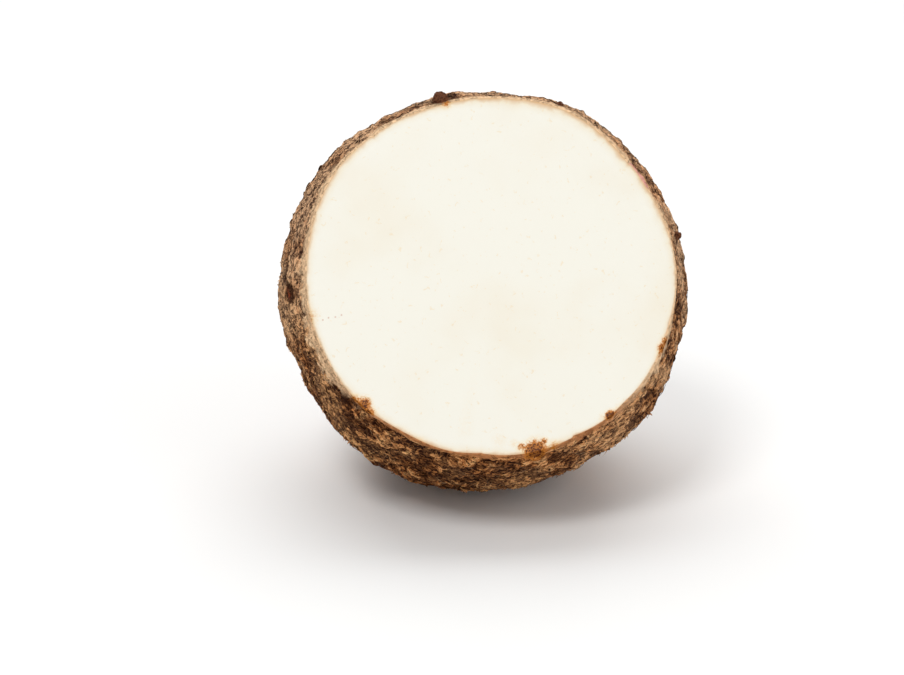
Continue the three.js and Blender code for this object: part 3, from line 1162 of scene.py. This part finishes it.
def new_group(name, inputs, outputs):
    """Starts a node group: its nodes, the sockets that it is given and those for its results."""
    kinds = {"number": "NodeSocketFloat", "vector": "NodeSocketVector", "colour": "NodeSocketColor"}
    tree = bpy.data.node_groups.new(name, "ShaderNodeTree")
    for direction, sockets in (("INPUT", inputs), ("OUTPUT", outputs)):
        for socket, kind in sockets.items():
            tree.interface.new_socket(socket, in_out=direction, socket_type=kinds[kind])
    nodes = Nodes(tree)
    return nodes, nodes.add("NodeGroupInput").outputs, nodes.add("NodeGroupOutput").inputs


def flecks_group():
    """Short flecks drawn out round the corm. Mask is 1 on a fleck, and Cover says how much they cover."""
    name = "Taro flecks"
    if name in bpy.data.node_groups:
        return bpy.data.node_groups[name]
    inputs = {socket: "number" for socket in ("Size", "Drawn out", "Cover", "Softness")} | {"Place": "vector"}
    nodes, given, result = new_group(name, inputs, {"Mask": "number", "Noise": "number"})
    across = nodes.maths("DIVIDE", 1, nodes.times(given["Size"], given["Drawn out"]))
    along = nodes.maths("DIVIDE", 1, given["Size"])
    scale = nodes.add("ShaderNodeCombineXYZ", {"X": across, "Y": across, "Z": along}).outputs[0]
    place = nodes.add("ShaderNodeVectorMath", {0: given["Place"], 1: scale}, operation="MULTIPLY").outputs[0]
    noise = nodes.noise(place, Scale=1.0, Detail=4.0, Roughness=0.6, Distortion=0.7)
    edge = nodes.maths("SUBTRACT", 1, given["Cover"])
    low = nodes.maths("SUBTRACT", edge, given["Softness"])
    high = nodes.maths("ADD", edge, given["Softness"])
    nodes.join(nodes.spread(nodes.ramp("fleck noise", noise), low, high), result["Mask"])
    nodes.join(noise, result["Noise"])
    return nodes.tree


def rim_group():
    """Fades away from the rim. Mask is 1 at the rim and 0 at Reach, which a noise moves by Wander."""
    name = "Taro rim fade"
    if name in bpy.data.node_groups:
        return bpy.data.node_groups[name]
    inputs = {"Distance": "number", "Reach": "number", "Place": "vector", "Wander": "number"}
    nodes, given, result = new_group(name, inputs, {"Mask": "number"})
    from_mean = nodes.maths("SUBTRACT", nodes.noise(given["Place"], Scale=300.0, Detail=4.0), 0.5)
    wander = nodes.maths("ADD", 1, nodes.times(from_mean, given["Wander"]))
    share = nodes.maths("DIVIDE", given["Distance"], nodes.times(given["Reach"], wander), clamp=True)
    nodes.join(nodes.maths("SUBTRACT", 1, share), result["Mask"])
    return nodes.tree


def eye_group():
    """Lays the root traces over a colour: a yellow halo, then orange, then a ragged dark brown middle."""
    name = "Taro root traces"
    if name in bpy.data.node_groups:
        return bpy.data.node_groups[name]
    inputs = {"Colour": "colour", "Place": "vector", "Eye": "number", "Halo": "number"}
    nodes, given, result = new_group(name, inputs, {"Colour": "colour"})
    flecks = nodes.group(flecks_group(), Place=given["Place"], **TRACE_FLECKS)
    ragged = nodes.times(nodes.ramp("uneven trace", flecks["Noise"]), given["Eye"])
    halo = nodes.times(nodes.ramp("trace halo", ragged), given["Halo"])
    colour = nodes.mix(halo, given["Colour"], TRACE_HALO)
    colour = nodes.mix(nodes.ramp("trace orange", ragged), colour, TRACE_ORANGE)
    middle = nodes.times(nodes.ramp("trace middle", ragged), nodes.maths("ADD", flecks["Mask"], TRACE_SOLID))
    colour = nodes.mix(nodes.maths("ADD", middle, 0, clamp=True), colour, TRACE_MIDDLE)
    nodes.join(colour, result["Colour"])
    return nodes.tree


def bark_tones(nodes, given, parts, finish):
    """The bark's light and dark colours; how dark it is, from painted shade low on the corm and most at the
    left, from darkening towards the root end and from random patches; and how far behind the cut it lies.
    """
    behind = nodes.ramp("behind", parts["Z"])
    # Painted shade: darker low on the corm, most at the left. With the darker root end and random patches it
    # turns the pale colour towards skin and the dark colour towards dark skin.
    low = nodes.times(nodes.ramp("low", parts["Y"]), nodes.ramp("left", parts["X"]))
    painted_shade_and_dark_end = nodes.maths("MAXIMUM", low, nodes.times(behind, STAINED_BEHIND))
    patches = nodes.ramp("patches", nodes.noise(given["Place"], Scale=75.0, Detail=4.0))
    shade_dark_end_and_patches = nodes.maths("ADD", painted_shade_and_dark_end, patches, clamp=True)
    # Painted highlight: the lightest tones, raised bark among them, take the pale colour, which is golden
    # where the painted low shade is.
    light_tone_and_crest_highlight = nodes.ramp("light_tone_and_crest_highlight", given["Tone"])
    golden = nodes.mix(low, finish.skin_light, finish.skin_gold)
    pale = nodes.mix(nodes.maths("SUBTRACT", shade_dark_end_and_patches, light_tone_and_crest_highlight, clamp=True), golden, finish.skin)
    return pale, nodes.mix(shade_dark_end_and_patches, finish.skin_brown, finish.skin_dark), shade_dark_end_and_patches, behind


def bark_cracks(nodes, given, parts, dashes, shade_dark_end_and_patches, behind):
    """Where the bark is dark: in its dashes, in its dark tones, in its hollows as painted shade, and, behind,
    in the valleys between the rings.
    """
    # Where the painted shade and the dark end are slight, the tone is lifted, so the upper bark is painted
    # lighter.
    tone = nodes.maths("ADD", given["Tone"], nodes.ramp("lift out of shade and dark end", shade_dark_end_and_patches))
    from_middle = nodes.maths("ABSOLUTE", nodes.maths("SUBTRACT", given["Ring"], RING_MIDDLE))
    valley = nodes.times(nodes.ramp("valley", from_middle), behind)
    # Painted shade in the hollows, together with the dark tones and the ring valleys.
    dark_tone_and_hollow_shade = nodes.maths("MAXIMUM", nodes.ramp("dark_tone_and_hollow_shade", tone), valley)
    fainter = nodes.times(nodes.ramp("dashes behind", behind), nodes.ramp("dashes at the right", parts["X"]))
    return nodes.maths("ADD", nodes.times(dashes["Mask"], fainter), dark_tone_and_hollow_shade, clamp=True)


def bark_group(finish):
    """Colours of bark, with painted shade low on the corm, in its hollows and between its fibres, and a
    painted highlight on its crests. Tone runs from 0, dark, to 1, light, and Height follows the cracks and
    fibres.
    """
    name = "Taro bark"
    if name in bpy.data.node_groups:
        return bpy.data.node_groups[name]
    inputs = {key.capitalize(): "number" for key in (*SKIN_MARKS, "tone")} | {"Place": "vector"}
    nodes, given, result = new_group(name, inputs, {"Colour": "colour", "Height": "number"})
    place, scar = given["Place"], given["Scar"]
    parts = nodes.add("ShaderNodeSeparateXYZ", {0: place}).outputs
    dashes = nodes.group(flecks_group(), Place=place, **DASHES)
    fibres = nodes.group(flecks_group(), Place=place, **FIBRES)
    pale, dark, shade_dark_end_and_patches, behind = bark_tones(nodes, given, parts, finish)
    cracks = bark_cracks(nodes, given, parts, dashes, shade_dark_end_and_patches, behind)
    open_cracks = nodes.maths("ADD", 1, nodes.times(fibres["Mask"], -FIBRES_OVER_CRACKS))
    colour = nodes.mix(nodes.times(cracks, open_cracks), pale, dark)
    # Painted shade in the grooves between the fibres.
    colour = nodes.mix(nodes.ramp("between fibres", fibres["Noise"]), colour, dark)
    fade = nodes.group(rim_group(), Distance=given["Rim"], Place=place, **SKIN_BAND)["Mask"]
    band = nodes.times(nodes.ramp("band", fade), nodes.ramp("band in cracks", cracks))
    band = nodes.times(band, nodes.ramp("band between fibres", fibres["Noise"]))
    band_colour = nodes.mix(nodes.ramp("low band", parts["Y"]), finish.band, finish.band_low)
    colour = nodes.mix(band, colour, band_colour)
    red = nodes.times(fibres["Mask"], nodes.ramp("red fibres", scar))
    colour = nodes.mix(nodes.ramp("scar", scar), colour, nodes.mix(red, finish.skin_dark, finish.skin_red))
    colour = nodes.mix(nodes.ramp("scrape", given["Scrape"]), colour, SCRAPED)
    colour = nodes.group(eye_group(), Colour=colour, Place=place, Eye=given["Eye"], Halo=0.0)["Colour"]
    nodes.join(colour, result["Colour"])
    fine, deep = nodes.times(fibres["Noise"], BARK_FINE), nodes.times(dashes["Mask"], BARK_DEEP)
    nodes.join(nodes.maths("SUBTRACT", fine, deep), result["Height"])
    return nodes.tree


def new_material(name):
    """An empty material with a principled shader, its nodes and that shader's inputs."""
    material = bpy.data.materials.new(name)
    material.use_nodes = True
    material.node_tree.nodes.clear()
    nodes = Nodes(material.node_tree)
    shader = nodes.add("ShaderNodeBsdfPrincipled")
    nodes.add("ShaderNodeOutputMaterial", {"Surface": shader.outputs[0]})
    return material, nodes, shader.inputs


def finish_surface(nodes, shader, colour, roughness, normal, shine):
    """Gives the shader its colour, roughness and normal, and how strongly it shines."""
    nodes.join(colour, shader["Base Color"])
    nodes.join(roughness, shader["Roughness"])
    nodes.join(normal, shader["Normal"])
    shader["Specular IOR Level"].default_value = shine


def bark_material(name, finish, tone, bump):
    """A material of bark, with its tone worked out from the piece's own attribute by `tone`."""
    material, nodes, shader = new_material(name)
    marks = {key.capitalize(): nodes.attribute(key) for key in SKIN_MARKS}
    place = nodes.attribute("place", "Vector")
    bark = nodes.group(bark_group(finish), Place=place, Tone=tone(nodes), **marks)
    normal = nodes.bump(bark["Height"], *bump)
    roughness = nodes.ramp("bark roughness", bark["Height"])
    finish_surface(nodes, shader, bark["Colour"], roughness, normal, SHINE["bark"])
    return material


def skin_material(finish):
    """The bark under the scales, dark in its hollows as painted shade."""

    def tone(nodes):
        # The relief's height becomes the tone: painted shade in the hollows, painted highlight on the crests.
        return nodes.ramp("skin tone", nodes.attribute("height"))

    return bark_material("taro_skin", finish, tone, SKIN_BUMP)


def scale_material(finish):
    """Scales of bark, each of its own tone."""
    return bark_material("taro_scales", finish, lambda nodes: nodes.attribute("tone"), SCALE_BUMP)


def flesh_material(corm, finish):
    """The cut face: near white, with faint warm patches, tan specks and a tan fade beside the skin."""
    material, nodes, shader = new_material("taro_flesh")
    place = nodes.attribute("place", "Vector")
    rim = nodes.attribute("rim")
    patches = nodes.ramp("warm flesh", nodes.noise(place, Scale=28.0, Detail=3.0))
    colour = nodes.mix(patches, finish.flesh, finish.flesh_warm)
    specks = nodes.group(flecks_group(), Place=place, **SPECKS)
    colour = nodes.mix(nodes.times(specks["Mask"], SPECK_STRENGTH), colour, SPECK)
    stain = nodes.group(rim_group(), Distance=rim, Place=place, **FLESH_STAIN)
    colour = nodes.mix(nodes.maths("POWER", stain["Mask"], STAIN_POWER), colour, STAIN)
    edge = nodes.group(rim_group(), Distance=rim, Place=place, **FLESH_EDGE)
    colour = nodes.mix(nodes.maths("POWER", edge["Mask"], EDGE_POWER), colour, finish.rim)
    eye = nodes.attribute("eye")
    colour = nodes.group(eye_group(), Colour=colour, Place=place, Eye=eye, Halo=FLESH_HALO)["Colour"]
    nearest = MM
    for degrees, inside in DOTS:
        dot = Vector(face_point(degrees, corm.cut_width / 2 - inside * MM))
        away = nodes.add("ShaderNodeVectorMath", {0: place, 1: dot}, operation="DISTANCE").outputs["Value"]
        nearest = nodes.maths("MINIMUM", nearest, away)
    colour = nodes.mix(nodes.ramp("dot", nearest), colour, DOT)
    grain = nodes.noise(place, Scale=900.0, Detail=3.0)
    normal = nodes.bump(grain, *FLESH_BUMP)
    finish_surface(nodes, shader, colour, nodes.ramp("flesh roughness", grain), normal, SHINE["flesh"])
    return material


def root_material(finish):
    """Stubs and fine roots: brown to tan, each root of its own tone."""
    material, nodes, shader = new_material("taro_root_end")
    place = nodes.add("ShaderNodeTexCoord").outputs["Object"]
    fibres = nodes.group(flecks_group(), Place=place, **END_FIBRES)
    tone = nodes.ramp("light root", nodes.attribute("tone"))
    colour = nodes.mix(tone, finish.root_end, finish.root_light)
    colour = nodes.mix(nodes.times(fibres["Mask"], END_FIBRE_STRENGTH), colour, finish.skin_dark)
    normal = nodes.bump(fibres["Noise"], *ROOT_BUMP)
    roughness = nodes.ramp("root roughness", fibres["Noise"])
    finish_surface(nodes, shader, colour, roughness, normal, SHINE["root"])
    return material


# The stage.

FLOOR_SIZE = 6
FLOOR_ROUGHNESS = 0.9
# Soft boxes: name, place, width and power in watts.
LIGHTS = (
    ("key", (-0.5, -0.8, 1.3), 0.5, 8.2),
    ("fill", (0.9, -0.7, 0.6), 0.9, 3.3),
    ("top", (0, 0.8, 1.3), 1.8, 16),
)
LIGHT_ALL_ROUND = 0.4
NEAREST_SEEN = 0.01


def add_light(name, place, size, power, target):
    """A square soft box that looks at the target."""
    bpy.ops.object.light_add(type="AREA", location=place)
    light = bpy.context.active_object
    light.name = name
    light.rotation_euler = (target - Vector(place)).to_track_quat("-Z", "Y").to_euler()
    light.data.size = size
    light.data.energy = power


def add_camera(scene, corm, stage):
    turn = Matrix.Rotation(stage.azimuth, 4, "Z") @ Matrix.Rotation(math.pi / 2 - stage.elevation, 4, "X")
    cut = Matrix.Translation((0, -corm.cut_forward, corm.cut_height))
    bpy.ops.object.camera_add()
    camera = bpy.context.active_object
    camera.matrix_world = cut @ turn @ Matrix.Translation((stage.aside, stage.above, stage.distance))
    camera.data.lens = stage.lens
    camera.data.clip_start = NEAREST_SEEN
    scene.camera = camera
    scene.view_settings.view_transform = "Standard"


class TARO_OT_stage(bpy.types.Operator):
    """Plain pale floor, soft light and the camera"""

    bl_idname = "taro.stage"
    bl_label = "Stage"

    def execute(self, context):
        corm, stage = context.scene.taro_corm, context.scene.taro_stage
        deselect_all()
        bpy.ops.mesh.primitive_plane_add(size=FLOOR_SIZE)
        floor = context.active_object
        floor.name = "floor"
        material, _, shader = new_material("floor")
        shader["Base Color"].default_value = (*stage.floor, 1)
        shader["Roughness"].default_value = FLOOR_ROUGHNESS
        floor.data.materials.append(material)
        for light in LIGHTS:
            add_light(*light, target=Vector((0, 0, corm.width / 2)))
        world = bpy.data.worlds.new("studio")
        world.use_nodes = True
        background = world.node_tree.nodes["Background"].inputs
        background["Color"].default_value = (1, 1, 1, 1)
        background["Strength"].default_value = LIGHT_ALL_ROUND
        context.scene.world = world
        add_camera(context.scene, corm, stage)
        return {"FINISHED"}


class TARO_PT_panel(bpy.types.Panel):
    """Lists the pieces and the stage"""

    bl_label = "Taro root"
    bl_idname = "TARO_PT_panel"
    bl_space_type = "VIEW_3D"
    bl_region_type = "UI"
    bl_category = "Taro root"

    def draw(self, context):
        for operator in OPERATORS:
            self.layout.operator(operator.bl_idname)
        for settings in (context.scene.taro_corm, context.scene.taro_finish, context.scene.taro_stage):
            box = self.layout.box()
            for name in settings.bl_rna.properties.keys():
                if name not in {"rna_type", "name"}:
                    box.prop(settings, name)


OPERATORS = (TARO_OT_corm, TARO_OT_scales, TARO_OT_fringes, TARO_OT_fine_roots, TARO_OT_stubs, TARO_OT_stage)
SETTINGS = {"taro_corm": TaroCorm, "taro_finish": TaroFinish, "taro_stage": TaroStage}


def register():
    for cls in (*SETTINGS.values(), *OPERATORS, TARO_PT_panel):
        bpy.utils.register_class(cls)
    for name, cls in SETTINGS.items():
        setattr(bpy.types.Scene, name, PointerProperty(type=cls))


def unregister():
    for name in SETTINGS:
        delattr(bpy.types.Scene, name)
    for cls in (TARO_PT_panel, *reversed(OPERATORS), *SETTINGS.values()):
        bpy.utils.unregister_class(cls)


def main():
    register()
    bpy.ops.taro.corm()
    bpy.ops.taro.scales()
    bpy.ops.taro.fringes()
    bpy.ops.taro.fine_roots()
    bpy.ops.taro.stubs()
    bpy.ops.taro.stage()


if __name__ == "__main__":
    main()
